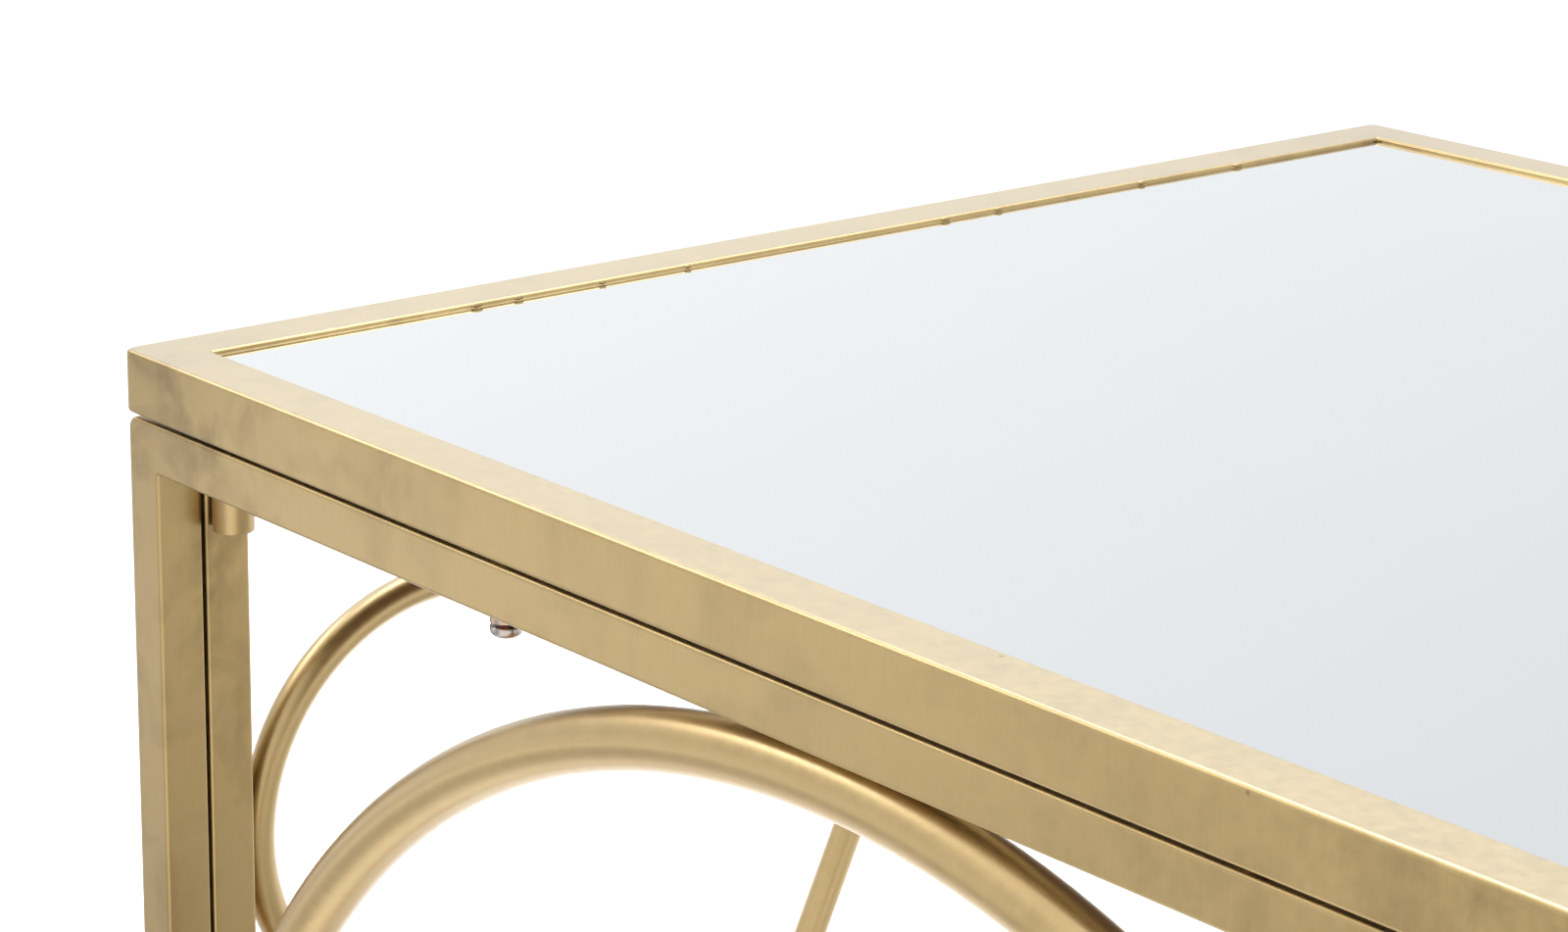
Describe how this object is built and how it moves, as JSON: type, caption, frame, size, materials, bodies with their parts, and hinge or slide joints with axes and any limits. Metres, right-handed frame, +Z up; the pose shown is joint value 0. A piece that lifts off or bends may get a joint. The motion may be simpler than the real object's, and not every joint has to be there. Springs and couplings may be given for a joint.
{
  "type": "vanity table",
  "caption": "Box-frame vanity table of gold-lacquered square tube with a recessed mirror-glass top, large rings front and back, one bent tube loop in each side and levelling feet.",
  "frame": {"origin": "on the floor under the middle of the table", "axes": "+Z up, +X to the right along the front rail, the front of the table faces -Y"},
  "size_m": [0.682, 0.62, 0.71],
  "materials": {
    "gold_lacquer": "satin gold-bronze lacquer on steel tube",
    "mirror_glass": "silvered float glass",
    "backing_board": "plain fibreboard",
    "black_steel": "black powder-coated plate",
    "zinc_plate": "bright zinc-plated screws",
    "nylon": "moulded black nylon"
  },
  "bodies": {
    "frame": {"back_leg_left": "gold_lacquer", "back_leg_right": "gold_lacquer", "back_rail_bottom": "gold_lacquer", "back_rail_top": "gold_lacquer", "back_ring": "gold_lacquer", "backing_board": "backing_board", "corner_sleeve_back_left": "gold_lacquer", "corner_sleeve_back_right": "gold_lacquer", "corner_sleeve_front_left": "gold_lacquer", "corner_sleeve_front_right": "gold_lacquer", "front_leg_left": "gold_lacquer", "front_leg_right": "gold_lacquer", "front_rail_bottom": "gold_lacquer", "front_rail_top": "gold_lacquer", "front_ring": "gold_lacquer", "gusset_back_left": "black_steel", "gusset_back_right": "black_steel", "gusset_front_left": "black_steel", "gusset_front_right": "black_steel", "left_hanger": "gold_lacquer", "left_leg_back": "gold_lacquer", "left_leg_front": "gold_lacquer", "left_loop": "gold_lacquer", "left_rail_bottom": "gold_lacquer", "left_rail_top": "gold_lacquer", "link_screw_back_left": "zinc_plate", "link_screw_back_right": "zinc_plate", "link_screw_front_left": "zinc_plate", "link_screw_front_right": "zinc_plate", "mirror_glass": "mirror_glass", "right_hanger": "gold_lacquer", "right_leg_back": "gold_lacquer", "right_leg_front": "gold_lacquer", "right_loop": "gold_lacquer", "right_rail_bottom": "gold_lacquer", "right_rail_top": "gold_lacquer", "sleeve_bolt_back_left": "zinc_plate", "sleeve_bolt_back_right": "zinc_plate", "sleeve_bolt_front_left": "zinc_plate", "sleeve_bolt_front_right": "zinc_plate", "tray_rail_back": "gold_lacquer", "tray_rail_front": "gold_lacquer", "tray_rail_left": "gold_lacquer", "tray_rail_right": "gold_lacquer", "tray_screw_back_left": "zinc_plate", "tray_screw_back_right": "zinc_plate", "tray_screw_front_left": "zinc_plate", "tray_screw_front_right": "zinc_plate", "tray_washer_back_left": "zinc_plate", "tray_washer_back_right": "zinc_plate", "tray_washer_front_left": "zinc_plate", "tray_washer_front_right": "zinc_plate"},
    "foot_front_left": {"foot_pad_front_left": "nylon", "foot_stud_front_left": "zinc_plate"},
    "foot_front_right": {"foot_pad_front_right": "nylon", "foot_stud_front_right": "zinc_plate"},
    "foot_back_left": {"foot_pad_back_left": "nylon", "foot_stud_back_left": "zinc_plate"},
    "foot_back_right": {"foot_pad_back_right": "nylon", "foot_stud_back_right": "zinc_plate"}
  },
  "joints": [
    {"name": "foot_front_left_screw_out", "type": "slide", "parent": "frame", "child": "foot_front_left", "axis": [0, 0, -1], "range_m": [0, 0.012]},
    {"name": "foot_front_right_screw_out", "type": "slide", "parent": "frame", "child": "foot_front_right", "axis": [0, 0, -1], "range_m": [0, 0.012]},
    {"name": "foot_back_left_screw_out", "type": "slide", "parent": "frame", "child": "foot_back_left", "axis": [0, 0, -1], "range_m": [0, 0.012]},
    {"name": "foot_back_right_screw_out", "type": "slide", "parent": "frame", "child": "foot_back_right", "axis": [0, 0, -1], "range_m": [0, 0.012]}
  ]
}
